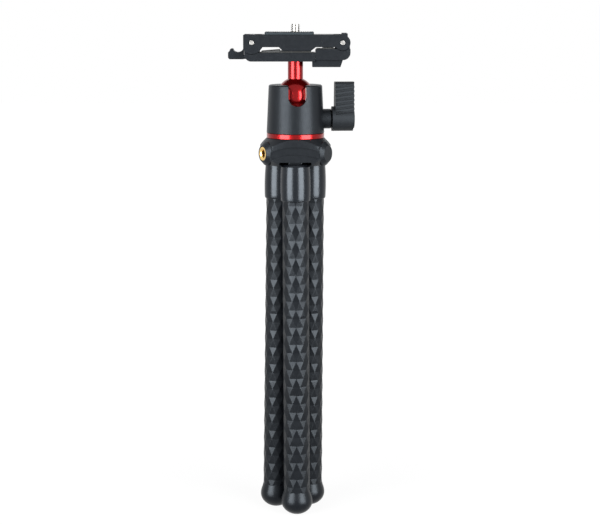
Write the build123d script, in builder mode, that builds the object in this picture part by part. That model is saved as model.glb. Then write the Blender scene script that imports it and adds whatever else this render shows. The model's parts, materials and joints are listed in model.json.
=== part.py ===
from build123d import *
import os
from math import atan2, ceil, cos, degrees, floor, pi, radians, sin, sqrt

# A pocket tripod with three flexible rubber legs, a red ball head and a folding clamp.
# Millimetres. The origin is where the camera sits: the middle of the pad's top face.
# +Z is up, +X is to the right and the viewer stands at -Y. The legs hang straight down, closed.

os.makedirs("parts", exist_ok=True)

# Clearances and overruns
run_gap = 0.05  # radial, between a pin or shaft and the bore that it turns or slides in
face_gap = 0.2  # between flat faces that pass each other
close_gap = 0.1  # between flat faces that stay together and turn
soft_gap = 0.3  # between rounded faces that pass each other
overrun = 4.0  # how far a cutting tool runs past what it cuts

# Camera pad and camera screw
pad_length = 33.5
pad_width = 24.0
pad_height = 1.7
pad_shift = 4.15  # the pad's middle lies left of the screw
pad_corner = 2.0
pad_edge = 0.34
screw_radius = 3.175  # a quarter inch camera screw
screw_height = 5.3
screw_tip = 0.5
screw_neck_radius = 2.9
screw_bore_radius = 3.3
screw_head_radius = 6.7
screw_head_height = 2.4
screw_slot_width = 1.2
screw_slot_depth = 1.0

# Upper bar of the clamp
clamp_width = 26.0
bar_height = 8.4
boss_drop = 2.4  # the thick middle reaches this far below the bar
boss_left = 8.7
boss_right = 10.8
boss_slope_left = 2.5
boss_slope_right = 3.1
bar_right = 17.7  # where the sliding carriage starts
edge_round = 0.6

# Hinge of the upper bar, at the left
left_pin_x = 29.6
right_pin_x = 32.1
pin_drop = 7.1  # both hinge pins lie this far below the camera seat
pin_radius = 1.5
pin_sink_radius = 2.25
pin_sink_depth = 0.5
ear_thickness = 3.0
left_ear_radius = 5.8
left_ear_skirt_radius = 7.7
left_bar_gap = 6.9  # from the left pin to the solid bar
left_knuckle_radius = 5.5

# Lower bar of the clamp
base_left = 34.5
base_right = 13.5
base_top_drop = 13.9
base_height = 5.9
base_corner = 4.5
base_neck_width = 5.2
base_screw_radius = 2.5
base_screw_head_radius = 4.4
base_screw_head_height = 2.4
base_screw_length = 13.0
hex_radius = 1.7
hex_depth = 1.5
wedge_left = 23.3
wedge_right = 10.6
wedge_low = 0.9
wedge_high = 1.9
wedge_width = 22.0

# Thumb latch at the left end of the lower bar
latch_pin_x = 31.0
latch_pin_rise = 3.0  # above the lower bar's underside
latch_pin_radius = 1.0
latch_pin_length = 18.0
latch_width = 12.0
latch_slot_right = 24.2
latch_slot_roof = 0.8  # wall left above the latch's slot
latch_tail_right = 25.6
latch_tail_top = 0.9  # above the latch pin
latch_tail_bottom = 1.5  # below the latch pin
latch_tip_x = 46.0
latch_foot_x = 35.4
latch_low = 18.5
latch_high = 10.6
latch_dip = 13.7
latch_bump_x = 43.5
latch_bump_radius = 1.35
latch_bump_drop = 12.6
latch_corner = 1.6
latch_edge = 0.6
spring_pocket_radius = 1.7
spring_pocket_depth = 2.4
latch_spring_x = 27.6
latch_spring_radius = 1.2
latch_spring_wire = 0.2
latch_spring_turns = 5

# Carriage, guide rods and return springs
carriage_body = 26.3  # where the carriage splits into two ears
right_ear_radius = 5.3
right_knuckle_radius = 5.0
strip_left = 31.8
strip_right = 35.5
strip_rise = 0.8
rod_radius = 1.5
rod_side = 7.0
rod_drop = 5.9
rod_left = 19.9
rod_right = 24.0
rod_head_radius = 2.6
rod_head_length = 1.5
chamber_radius = 2.9
chamber_left = 20.6
chamber_right = 12.0
return_spring_radius = 2.2
return_spring_wire = 0.25
return_spring_turns = 12

# Swinging jaw and cold shoe
jaw_left = 13.7
jaw_right = 37.4
jaw_top_drop = 11.3
jaw_height = 7.5
jaw_corner = 5.0
jaw_bevel = 1.0
jaw_pad_left = 18.6
jaw_pad_right = 26.0
jaw_pad_height = 1.0
jaw_pad_width = 22.0
shoe_left = 11.5
shoe_right = 32.3
shoe_height = 4.8
shoe_width = 22.0
shoe_slot_width = 18.7
shoe_slot_height = 2.2
shoe_lip = 1.4
shoe_mouth = 12.6
shoe_stop = 1.6
shoe_slant = 1.6

# Ball, stem and their housing
ball_drop = 43.9
ball_radius = 13.0
stem_radius = 5.25
housing_rise = 7.9  # above the ball's middle
housing_height = 32.7
housing_top_radius = 18.4
housing_bottom_radius = 19.9
housing_round = 1.2
housing_bore_radius = 15.0
ball_free = 0.3  # between the ball and the housing's lip
upper_seat_top = 6.3  # above the ball's middle
upper_seat_bottom = 2.1  # below the ball's middle
slot_width = 12.4
slot_turn = 4.9  # the slot and the knob are turned this many degrees from the front
lower_seat_top = 6.6  # below the ball's middle
base_plate_height = 3.9

# Locking knob
knob_depth = 15.6  # below the ball's middle
collar_radius = 6.8
collar_start = 17.4
collar_end = 24.8
plug_radius = 3.8
plug_start = 6.3
plug_end = 13.0
plug_nose = 1.2
lock_radius = 3.0
lock_end = 36.0
lock_hole_radius = 3.6
knob_gap = 0.3
knob_hub_radius = 8.5
knob_hub_end = 39.6
knob_cap_radius = 6.6
knob_cap_rise = 0.9
arm_start = 27.2
arm_end = 40.3
arm_reach = 25.4
arm_base_width = 13.6
arm_tip_width = 10.0
arm_corner = 2.6
groove_count = 7
groove_pitch = 3.0
groove_first = 5.6  # from the knob's axis to the first groove
groove_height = 1.7
groove_depth = 1.7
knob_edge = 0.8

# Red ring and the stud that the head turns on
ring_space = 3.8  # between the housing and the hub
ring_radius = 19.9
ring_edge = 0.4
stud_radius = 4.0
stud_flange_radius = 6.0
stud_flange_height = 1.0
stud_floor = 1.4  # what the hub keeps under the stud

# Hub
hub_height = 15.5
hub_radius = 20.1
hub_side_radius = 120.0  # the crown's three sides bulge
hub_skirt_radius = 19.0  # from the axis to each flat side below the coves
hub_corner_radius = 24.6
hub_shoulder = 4.5  # the corners start this far below the hub's top
hub_corner_slope = 3.6  # under the corners
hub_droop = 2.6  # the hub reaches this far lower between the legs
cove_radius = 18.3
cove_start = 5.0  # below the hub's top
cove_height = 5.5
cove_half_width = 16.5
cove_arc_radius = 44.0
lobe_radius = 8.2
lobe_reach = 26.0
lobe_chamfer = 2.6
lobe_depth = 9.9  # below the hub's top
insert_radius = 4.7
insert_hole_radius = 2.6
insert_length = 9.0
insert_rim = 0.8

# Legs
leg_count = 3
first_leg_angle = -90.0
leg_circle_top = 12.5
leg_circle_foot = 13.9
foot_turn = 8.9  # the closed bundle is twisted by this angle down to the feet
foot_shift = 1.15  # and its feet stand this far to the left
leg_pin_circle = 15.0
leg_pin_rise = 3.0  # above the hub's underside
leg_pin_radius = 1.2
leg_pin_length = 14.0
lug_radius = 2.3
lug_width = 9.0
lug_front = 0.8
lug_slot_wall = 1.3  # the hub's wall in front of the lug
lug_roof = 0.4
cup_gap = 1.7  # under the hub
cup_height = 25.3
cup_top_radius = 8.7
cup_shoulder = 1.4
cup_shoulder_radius = 9.9
cup_belly_radius = 10.5
cup_bottom_radius = 10.3
cup_lip = 0.8
cup_room = 11.0
first_bend = 2.7  # below the cup
segment_count = 4
bend_limit = 30.0
bend_margin = 1.5
sleeve_length = 207.0
leg_radius = 9.3
facet_count = 11
row_height = 6.04
core_radius = 3.0
core_in_foot = 8.0

# Feet
foot_height = 15.6
foot_radius = 11.0
foot_waist_radius = 9.5
foot_equator = 6.7  # below the foot's top
foot_dome = 9.3


# Places that follow from the sizes above
bar_top = -pad_height
bar_bottom = bar_top - bar_height
boss_bottom = bar_bottom - boss_drop
half_width = clamp_width / 2
ear_inside = half_width - ear_thickness
tongue_half = ear_inside - face_gap
pin_level = -pin_drop
base_top = -base_top_drop
base_bottom = base_top - base_height
jaw_top = -jaw_top_drop
jaw_bottom = jaw_top - jaw_height
latch_level = base_bottom + latch_pin_rise
slot_roof_level = base_top - latch_slot_roof
housing_top_drop = ball_drop - housing_rise
housing_bottom_drop = housing_top_drop + housing_height
knob_drop = ball_drop + knob_depth
hub_drop = housing_bottom_drop + ring_space
cove_top_drop = hub_drop + cove_start
lobe_drop = hub_drop + lobe_depth
hub_bottom_drop = hub_drop + hub_height
leg_pin_drop = hub_bottom_drop - leg_pin_rise
cup_top_drop = hub_bottom_drop + cup_gap
cup_bottom_drop = cup_top_drop + cup_height
foot_top_drop = cup_bottom_drop + sleeve_length
floor_drop = foot_top_drop + foot_height
ball_level = -ball_drop
ball_outer = ball_radius + run_gap
housing_bottom = -housing_bottom_drop
knob_level = -knob_drop
base_plate_bottom = housing_bottom + close_gap
base_plate_top = base_plate_bottom + base_plate_height
ring_top = housing_bottom - close_gap
hub_top = -hub_drop
hub_bottom = -hub_bottom_drop
hub_foot = hub_bottom - hub_droop
stud_top = base_plate_top + close_gap
stud_bottom = hub_bottom + stud_floor
first_bend_drop = cup_bottom_drop + first_bend
segment_length = (foot_top_drop - first_bend_drop) / segment_count
dish_radius = leg_radius / cos(radians((bend_limit + 2 * bend_margin) / 2))
dome_radius = dish_radius - soft_gap


def keep(piece, name):
    """Label a finished piece and write its file."""
    piece.label = name
    export_step(piece, f"parts/{name}.step")


knob_plane = Plane(
    origin=(0, 0, knob_level),
    x_dir=(-sin(radians(slot_turn)), cos(radians(slot_turn)), 0),
    z_dir=(cos(radians(slot_turn)), sin(radians(slot_turn)), 0),
)
slot_plane = Plane(
    origin=(0, 0, ball_level),
    x_dir=(cos(radians(slot_turn)), sin(radians(slot_turn)), 0),
    z_dir=(sin(radians(slot_turn)), -cos(radians(slot_turn)), 0),
)


def leg_plane(leg):
    """A leg's own frame: on its axis at the hub's underside, +Z up the leg and +X outwards."""
    top_angle = radians(first_leg_angle + leg * 360 / leg_count)
    foot_angle = top_angle + radians(foot_turn)
    top = Vector(leg_circle_top * cos(top_angle), leg_circle_top * sin(top_angle), hub_bottom)
    foot = Vector(
        leg_circle_foot * cos(foot_angle) - foot_shift,
        leg_circle_foot * sin(foot_angle),
        -floor_drop,
    )
    outward = Vector(cos(top_angle), sin(top_angle), 0)
    return Plane(origin=top, x_dir=outward, z_dir=(top - foot).normalized())


leg_planes = [leg_plane(leg) for leg in range(leg_count)]
lug_x = leg_pin_circle - leg_circle_top
lug_z = leg_pin_rise

# Camera pad: a thin rubber plate with a hole for the screw
with BuildPart() as camera_pad:
    with BuildSketch(Plane.XY.offset(bar_top)):
        with Locations((-pad_shift, 0)):
            RectangleRounded(pad_length, pad_width, pad_corner)
        Circle(screw_bore_radius, mode=Mode.SUBTRACT)
    extrude(amount=pad_height)
    chamfer(camera_pad.faces().sort_by(Axis.Z)[-1].outer_wire().edges(), pad_edge)
keep(camera_pad.part, "camera_pad")

# Camera screw: threaded end above the pad, thin neck in the bar, slotted head in the boss
with BuildPart() as camera_screw:
    with BuildSketch(Plane.XY):
        Circle(screw_radius)
    extrude(amount=screw_height)
    chamfer(camera_screw.faces().sort_by(Axis.Z)[-1].edges(), screw_tip)
    head_top = boss_bottom + face_gap + screw_head_height
    with BuildSketch(Plane.XY.offset(head_top)):
        Circle(screw_neck_radius)
    extrude(amount=-head_top)
    with BuildSketch(Plane.XY.offset(head_top)):
        Circle(screw_head_radius)
    extrude(amount=-screw_head_height)
    with BuildSketch(Plane.XY.offset(head_top - screw_head_height)):
        Rectangle(2 * screw_head_radius + overrun, screw_slot_width)
    extrude(amount=screw_slot_depth, mode=Mode.SUBTRACT)
keep(camera_screw.part, "camera_screw")

# Upper bar: a beam with a thick middle, two ears on the left pin and two spring chambers
with BuildPart() as top_bar:
    with BuildSketch(Plane.XZ):
        with BuildLine():
            Polyline(
                (left_bar_gap - left_pin_x, bar_top),
                (bar_right, bar_top),
                (bar_right, bar_bottom),
                (boss_right + boss_slope_right, bar_bottom),
                (boss_right, boss_bottom),
                (-boss_left, boss_bottom),
                (-boss_left - boss_slope_left, bar_bottom),
                (left_bar_gap - left_pin_x, bar_bottom),
                close=True,
            )
        make_face()
    extrude(amount=half_width, both=True)
    for side in (-1, 1):
        ear_plane = Plane.XZ.offset(side * (ear_inside + ear_thickness / 2))
        with BuildSketch(ear_plane):
            with Locations((-left_pin_x, pin_level)):
                Circle(left_ear_radius)
                Circle(left_ear_skirt_radius)
            with Locations((-left_pin_x - left_ear_radius, pin_level)):
                Rectangle(
                    2 * left_ear_skirt_radius,
                    2 * left_ear_skirt_radius,
                    align=(Align.MAX, Align.CENTER),
                    mode=Mode.SUBTRACT,
                )
            with Locations((-left_pin_x, pin_level + (bar_top - pin_level))):
                Rectangle(
                    4 * left_ear_skirt_radius,
                    left_ear_skirt_radius,
                    align=(Align.CENTER, Align.MIN),
                    mode=Mode.SUBTRACT,
                )
            with Locations((-left_pin_x, pin_level)):
                Rectangle(
                    left_bar_gap + edge_round,
                    bar_top - pin_level,
                    align=(Align.MIN, Align.MIN),
                )
        extrude(amount=ear_thickness / 2, both=True)
    with BuildSketch(Plane.XZ):
        with Locations((-left_pin_x, pin_level)):
            Circle(pin_radius + run_gap)
    extrude(amount=half_width + overrun, both=True, mode=Mode.SUBTRACT)
    for side in (-1, 1):
        with BuildSketch(Plane.XZ.offset(side * (half_width - pin_sink_depth))):
            with Locations((-left_pin_x, pin_level)):
                Circle(pin_sink_radius)
        extrude(amount=side * (pin_sink_depth + overrun), mode=Mode.SUBTRACT)
    with BuildSketch(Plane.XY.offset(bar_top)):
        Circle(screw_bore_radius)
    extrude(amount=-(bar_height + boss_drop), mode=Mode.SUBTRACT)
    with BuildSketch(Plane.XY.offset(boss_bottom)):
        Circle(screw_head_radius + soft_gap)
    extrude(amount=screw_head_height + 2 * face_gap, mode=Mode.SUBTRACT)
    with BuildSketch(Plane.YZ.offset(-chamber_left)):
        with Locations((-rod_side, -rod_drop), (rod_side, -rod_drop)):
            Circle(chamber_radius)
    extrude(amount=chamber_left + chamber_right, mode=Mode.SUBTRACT)
    with BuildSketch(Plane.YZ.offset(bar_right)):
        with Locations((-rod_side, -rod_drop), (rod_side, -rod_drop)):
            Circle(rod_radius + run_gap)
    extrude(amount=chamber_right - bar_right - overrun, mode=Mode.SUBTRACT)
    long_edges = top_bar.edges().filter_by(Axis.X).group_by(Axis.Z)[-1]
    fillet(long_edges, edge_round)
keep(top_bar.part, "top_bar")

# Lower bar: carries everything, with a knuckle on the left pin and a slot for the latch
with BuildPart() as base_bar:
    with BuildSketch(Plane.XZ):
        with BuildLine():
            Polyline(
                (-base_left, base_top),
                (base_right, base_top),
                (base_right, base_bottom),
                (-base_left, base_bottom),
                close=True,
            )
        make_face()
        low_left = [
            corner for corner in vertices() if corner.X < 0 and corner.Y < base_top - base_height / 2
        ]
        fillet(low_left, base_corner)
    extrude(amount=half_width, both=True)
    with BuildSketch(Plane.XZ):
        with Locations((-left_pin_x, pin_level)):
            Circle(left_ear_skirt_radius + soft_gap)
    extrude(amount=half_width + overrun, both=True, mode=Mode.SUBTRACT)
    with BuildSketch(Plane.XZ):
        with Locations((-left_pin_x, pin_level)):
            Circle(left_knuckle_radius)
            Rectangle(
                2 * base_neck_width,
                pin_level - base_top + base_height / 2,
                align=(Align.CENTER, Align.MAX),
            )
    extrude(amount=tongue_half, both=True)
    with BuildSketch(Plane.XZ):
        with Locations((-left_pin_x, pin_level)):
            Circle(pin_radius)
        with Locations((-latch_pin_x, latch_level)):
            Circle(latch_pin_radius)
    extrude(amount=latch_pin_length / 2, both=True, mode=Mode.SUBTRACT)
    with BuildSketch(Plane.XZ):
        with Locations((-left_pin_x, pin_level)):
            Circle(pin_radius)
    extrude(amount=half_width, both=True, mode=Mode.SUBTRACT)
    with BuildSketch(Plane.XY.offset(slot_roof_level)):
        with Locations((-latch_slot_right, 0)):
            Rectangle(base_left, latch_width + 2 * face_gap, align=(Align.MAX, Align.CENTER))
    extrude(amount=-(base_height + overrun), mode=Mode.SUBTRACT)
    with BuildSketch(Plane.XY.offset(slot_roof_level)):
        with Locations((-latch_spring_x, 0)):
            Circle(spring_pocket_radius)
    extrude(amount=spring_pocket_depth, mode=Mode.SUBTRACT)
    with BuildSketch(Plane.XY.offset(base_bottom)):
        Circle(base_screw_radius)
    extrude(amount=base_height, mode=Mode.SUBTRACT)
    with BuildSketch(Plane.XY.offset(base_top)):
        Circle(base_screw_head_radius)
    extrude(amount=-base_screw_head_height, mode=Mode.SUBTRACT)
keep(base_bar.part, "base_bar")

# Screw that holds the lower bar on the stem, with a hexagon socket
with BuildPart() as base_screw:
    with BuildSketch(Plane.XY.offset(base_top)):
        Circle(base_screw_head_radius)
    extrude(amount=-base_screw_head_height)
    with BuildSketch(Plane.XY.offset(base_top - base_screw_head_height)):
        Circle(base_screw_radius)
    extrude(amount=-base_screw_length)
    with BuildSketch(Plane.XY.offset(base_top)):
        RegularPolygon(hex_radius, 6)
    extrude(amount=-hex_depth, mode=Mode.SUBTRACT)
keep(base_screw.part, "base_screw")

# Rubber wedge on the lower bar, one of the two faces that grip a telephone
with BuildPart() as base_pad:
    with BuildSketch(Plane.XZ):
        with BuildLine():
            Polyline(
                (-wedge_left, base_top),
                (-wedge_right, base_top),
                (-wedge_right, base_top + wedge_high),
                (-wedge_left, base_top + wedge_low),
                close=True,
            )
        make_face()
    extrude(amount=wedge_width / 2, both=True)
keep(base_pad.part, "base_pad")

# Two steel pins held by the lower bar: the left hinge pin and the latch pin
with BuildPart() as base_pins:
    with BuildSketch(Plane.XZ):
        with Locations((-left_pin_x, pin_level)):
            Circle(pin_radius)
    extrude(amount=half_width, both=True)
    with BuildSketch(Plane.XZ):
        with Locations((-latch_pin_x, latch_level)):
            Circle(latch_pin_radius)
    extrude(amount=latch_pin_length / 2, both=True)
keep(base_pins.part, "base_pins")

# Thumb latch: a hollowed tab outside, a tail inside the lower bar, and the pin's hole
with BuildPart() as latch_lever:
    with BuildSketch(Plane.XZ):
        with BuildLine():
            tail_top = Line(
                (-latch_tail_right, latch_level + latch_tail_top),
                (-latch_foot_x, latch_level + latch_tail_top),
            )
            inner = Line(tail_top @ 1, (-latch_foot_x, -latch_high))
            dip = ThreePointArc(
                inner @ 1,
                (-(latch_foot_x + latch_bump_x - latch_bump_radius) / 2, -latch_dip),
                (-latch_bump_x + latch_bump_radius, -latch_bump_drop),
            )
            bump = ThreePointArc(
                dip @ 1,
                (-latch_bump_x, -latch_bump_drop + latch_bump_radius),
                (-latch_bump_x - latch_bump_radius, -latch_bump_drop),
            )
            tip_top = Line(bump @ 1, (-latch_tip_x, -latch_bump_drop - latch_bump_radius))
            tip = Line(tip_top @ 1, (-latch_tip_x, -latch_low))
            under = Line(tip @ 1, (-latch_foot_x, -latch_low))
            step = Line(under @ 1, (-latch_foot_x, latch_level - latch_tail_bottom))
            tail = Line(step @ 1, (-latch_tail_right, latch_level - latch_tail_bottom))
            Line(tail @ 1, tail_top @ 0)
        make_face()
        outer_corner = vertices().group_by(Axis.X)[0].sort_by(Axis.Y)[0]
        fillet(outer_corner, latch_corner)
    extrude(amount=latch_width / 2, both=True)
    with BuildSketch(Plane.XZ):
        with Locations((-latch_pin_x, latch_level)):
            Circle(latch_pin_radius + run_gap)
    extrude(amount=latch_width, both=True, mode=Mode.SUBTRACT)
    tab_ends = latch_lever.edges().group_by(Axis.X)[0].filter_by(Axis.Z)
    chamfer(tab_ends, latch_edge)
keep(latch_lever.part, "latch_lever")


def coil_spring(start, direction, length, radius, wire, turns):
    """A round wire wound into a spring from a point along a direction."""
    with BuildPart() as spring:
        with BuildLine():
            winding = Helix(length / turns, length, radius, center=start, direction=direction)
        with BuildSketch(Plane(origin=winding @ 0, z_dir=winding % 0)):
            Circle(wire)
        sweep(path=winding)
    return spring.part


# Latch spring: stands on the latch's tail and pushes up into the lower bar
latch_spring_start = latch_level + latch_tail_top + latch_spring_wire + close_gap
latch_spring_end = slot_roof_level + spring_pocket_depth - latch_spring_wire - close_gap
latch_spring = coil_spring(
    (-latch_spring_x, 0, latch_spring_start),
    (0, 0, 1),
    latch_spring_end - latch_spring_start,
    latch_spring_radius,
    latch_spring_wire,
    latch_spring_turns,
)
keep(latch_spring, "latch_spring")

# Carriage: the right end of the upper bar, which slides out on two rods
with BuildPart() as carriage:
    with BuildSketch(Plane.XZ):
        with Locations((bar_right + close_gap, bar_top)):
            Rectangle(
                carriage_body - bar_right - close_gap, bar_height, align=(Align.MIN, Align.MAX)
            )
    extrude(amount=half_width, both=True)
    for side in (-1, 1):
        with BuildSketch(Plane.XZ.offset(side * (ear_inside + ear_thickness / 2))):
            with Locations((right_pin_x, pin_level)):
                Circle(right_ear_radius)
            with Locations((carriage_body, bar_top)):
                Rectangle(right_pin_x - carriage_body, bar_height, align=(Align.MIN, Align.MAX))
            with Locations(((strip_left + strip_right) / 2, pin_level)):
                Rectangle(
                    strip_right - strip_left,
                    bar_top + strip_rise - pin_level,
                    align=(Align.CENTER, Align.MIN),
                )
            with Locations((right_pin_x, pin_level)):
                Circle(pin_radius, mode=Mode.SUBTRACT)
        extrude(amount=ear_thickness / 2, both=True)
    for side in (-1, 1):
        with BuildSketch(Plane.XZ.offset(side * (half_width - pin_sink_depth))):
            with Locations((right_pin_x, pin_level)):
                Circle(pin_sink_radius)
        extrude(amount=side * (pin_sink_depth + overrun), mode=Mode.SUBTRACT)
    with BuildSketch(Plane.YZ.offset(bar_right)):
        with Locations((-rod_side, -rod_drop), (rod_side, -rod_drop)):
            Circle(rod_radius)
    extrude(amount=rod_right - bar_right, mode=Mode.SUBTRACT)
keep(carriage.part, "carriage")

# Guide rods: two headed rods fixed in the carriage
with BuildPart() as guide_rods:
    with BuildSketch(Plane.YZ.offset(rod_right)):
        with Locations((-rod_side, -rod_drop), (rod_side, -rod_drop)):
            Circle(rod_radius)
    extrude(amount=-(rod_left + rod_right))
    with BuildSketch(Plane.YZ.offset(-rod_left)):
        with Locations((-rod_side, -rod_drop), (rod_side, -rod_drop)):
            Circle(rod_head_radius)
    extrude(amount=rod_head_length)
keep(guide_rods.part, "guide_rods")

# Return springs: one round each rod, squeezed when the carriage is pulled out
return_spring_start = rod_head_length - rod_left + return_spring_wire + close_gap
return_spring_end = chamber_right - return_spring_wire - close_gap
return_springs = [
    coil_spring(
        (return_spring_start, side * rod_side, -rod_drop),
        (1, 0, 0),
        return_spring_end - return_spring_start,
        return_spring_radius,
        return_spring_wire,
        return_spring_turns,
    )
    for side in (-1, 1)
]
keep(Compound(children=return_springs), "return_springs")

# Right hinge pin, held by the carriage's ears
with BuildPart() as right_hinge_pin:
    with BuildSketch(Plane.XZ):
        with Locations((right_pin_x, pin_level)):
            Circle(pin_radius)
    extrude(amount=half_width, both=True)
keep(right_hinge_pin.part, "right_hinge_pin")

# Jaw: a block folded under the carriage, with a tongue between the carriage's ears
with BuildPart() as flip_jaw:
    with BuildSketch(Plane.XZ):
        with Locations((jaw_left, jaw_top)):
            Rectangle(jaw_right - jaw_left, jaw_height, align=(Align.MIN, Align.MAX))
        low_right = vertices().group_by(Axis.X)[-1].sort_by(Axis.Y)[0]
        fillet(low_right, jaw_corner)
        high_left = vertices().group_by(Axis.X)[0].sort_by(Axis.Y)[-1]
        chamfer(high_left, jaw_bevel)
    extrude(amount=half_width, both=True)
    with BuildSketch(Plane.XZ):
        with Locations((right_pin_x, pin_level)):
            Circle(right_ear_radius + soft_gap)
    extrude(amount=half_width + overrun, both=True, mode=Mode.SUBTRACT)
    with BuildSketch(Plane.XZ):
        with Locations((right_pin_x, pin_level)):
            Circle(right_knuckle_radius)
            Rectangle(
                2 * right_knuckle_radius,
                pin_level - jaw_top + jaw_height / 2,
                align=(Align.CENTER, Align.MAX),
            )
    extrude(amount=tongue_half, both=True)
    with BuildSketch(Plane.XZ):
        with Locations((right_pin_x, pin_level)):
            Circle(pin_radius + run_gap)
    extrude(amount=half_width, both=True, mode=Mode.SUBTRACT)
keep(flip_jaw.part, "flip_jaw")

# Rubber pad on the jaw's gripping face
with BuildPart() as jaw_pad:
    with BuildSketch(Plane.XY.offset(jaw_top)):
        with Locations(((jaw_pad_left + jaw_pad_right) / 2, 0)):
            Rectangle(jaw_pad_right - jaw_pad_left, jaw_pad_width)
    extrude(amount=jaw_pad_height)
keep(jaw_pad.part, "jaw_pad")

# Cold shoe on the jaw's outer face: a slot with two lips, open at the right and stopped at the left
shoe_bottom = jaw_bottom - shoe_height
with BuildPart() as cold_shoe:
    with BuildSketch(Plane.XZ):
        with BuildLine():
            Polyline(
                (base_right + face_gap, jaw_bottom),
                (shoe_right, jaw_bottom),
                (shoe_right - shoe_slant, shoe_bottom),
                (shoe_left, shoe_bottom),
                (shoe_left, base_bottom - face_gap),
                (base_right + face_gap, base_bottom - face_gap),
                close=True,
            )
        make_face()
    extrude(amount=shoe_width / 2, both=True)
    with BuildSketch(Plane.YZ.offset(shoe_left + shoe_stop)):
        with Locations((0, shoe_bottom + shoe_lip)):
            Rectangle(shoe_slot_width, shoe_slot_height, align=(Align.CENTER, Align.MIN))
            Rectangle(
                shoe_mouth, 2 * shoe_lip + overrun, align=(Align.CENTER, Align.CENTER)
            )
    extrude(amount=shoe_right - shoe_left, mode=Mode.SUBTRACT)
keep(cold_shoe.part, "cold_shoe")

# Ball and stem, turned from one bar
with BuildPart() as ball_stem:
    with Locations((0, 0, ball_level)):
        Sphere(ball_radius)
    with BuildSketch(Plane.XY.offset(ball_level)):
        Circle(stem_radius)
    extrude(amount=base_bottom - close_gap - ball_level)
    with BuildSketch(Plane.XY.offset(base_bottom)):
        Circle(base_screw_radius + run_gap)
    extrude(amount=-base_screw_length + overrun - base_height, mode=Mode.SUBTRACT)
keep(ball_stem.part, "ball_stem")


# Tool for the U-shaped slot that lets the stem lie down, from the ball's middle outwards
with BuildPart() as stem_slot:
    with BuildSketch(slot_plane):
        Circle(slot_width / 2)
        Rectangle(slot_width, ball_drop, align=(Align.CENTER, Align.MIN))
    extrude(amount=housing_bottom_radius + overrun)

# Housing: a slightly flared shell round the ball, with the slot and the knob's hole
with BuildPart() as head_housing:
    with BuildSketch(Plane.XZ):
        with BuildLine():
            Polyline(
                (0, housing_bottom),
                (housing_bottom_radius, housing_bottom),
                (housing_top_radius, -housing_top_drop),
                (0, -housing_top_drop),
                close=True,
            )
        make_face()
    revolve(axis=Axis.Z)
    rim = head_housing.edges().group_by(Axis.Z)[-1]
    fillet(rim, housing_round)
    with BuildSketch(Plane.XY.offset(housing_bottom)):
        Circle(housing_bore_radius)
    extrude(amount=ball_level + upper_seat_top - housing_bottom, mode=Mode.SUBTRACT)
    with Locations((0, 0, ball_level)):
        Sphere(ball_radius + ball_free, mode=Mode.SUBTRACT)
    add(stem_slot.part, mode=Mode.SUBTRACT)
    with BuildSketch(knob_plane):
        Circle(lock_hole_radius)
    extrude(amount=housing_bottom_radius + overrun, mode=Mode.SUBTRACT)
    with BuildSketch(knob_plane.offset(collar_start)):
        Circle(collar_radius)
    extrude(amount=housing_bottom_radius, mode=Mode.SUBTRACT)
keep(head_housing.part, "head_housing")

# Upper ball seat: a split plastic ring under the housing's lip
with BuildPart() as upper_ball_seat:
    with BuildSketch(Plane.XY.offset(ball_level - upper_seat_bottom)):
        Circle(housing_bore_radius)
    extrude(amount=upper_seat_top + upper_seat_bottom)
    with Locations((0, 0, ball_level)):
        Sphere(ball_outer, mode=Mode.SUBTRACT)
    add(stem_slot.part, mode=Mode.SUBTRACT)
keep(upper_ball_seat.part, "upper_ball_seat")

# Lower ball seat: a cup under the ball, bored across for the pressure plug
with BuildPart() as lower_ball_seat:
    with BuildSketch(Plane.XY.offset(base_plate_top)):
        Circle(housing_bore_radius)
    extrude(amount=ball_level - lower_seat_top - base_plate_top)
    with Locations((0, 0, ball_level)):
        Sphere(ball_outer, mode=Mode.SUBTRACT)
    with BuildSketch(Plane.XY.offset(base_plate_top)):
        Circle(stud_flange_radius + 2 * soft_gap)
    extrude(amount=stud_flange_height + 2 * face_gap, mode=Mode.SUBTRACT)
    with BuildSketch(knob_plane):
        Circle(plug_radius + run_gap)
    extrude(amount=housing_bore_radius + overrun, mode=Mode.SUBTRACT)
keep(lower_ball_seat.part, "lower_ball_seat")

# Base plate that closes the housing and turns on the stud
with BuildPart() as housing_base:
    with BuildSketch(Plane.XY.offset(base_plate_bottom)):
        Circle(housing_bore_radius)
        Circle(stud_radius + run_gap, mode=Mode.SUBTRACT)
    extrude(amount=base_plate_height)
keep(housing_base.part, "housing_base")

# Collar that guides the locking screw
with BuildPart() as knob_collar:
    with BuildSketch(knob_plane.offset(collar_start)):
        Circle(collar_radius)
        Circle(lock_radius + run_gap, mode=Mode.SUBTRACT)
    extrude(amount=collar_end - collar_start)
    chamfer(knob_collar.faces().sort_by(Axis.X)[-1].outer_wire().edges(), knob_edge)
keep(knob_collar.part, "knob_collar")

# Pressure plug with a blunt conical nose, pushed under the ball by the screw
with BuildPart() as lock_plug:
    with BuildSketch(knob_plane.offset(plug_start)):
        Circle(plug_radius)
    extrude(amount=plug_end - plug_start)
    chamfer(lock_plug.faces().sort_by(Axis.X)[0].edges(), plug_nose)
keep(lock_plug.part, "lock_plug")

# Locking screw
with BuildPart() as lock_screw:
    with BuildSketch(knob_plane.offset(plug_end + close_gap)):
        Circle(lock_radius)
    extrude(amount=lock_end - plug_end - close_gap)
keep(lock_screw.part, "lock_screw")

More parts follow.
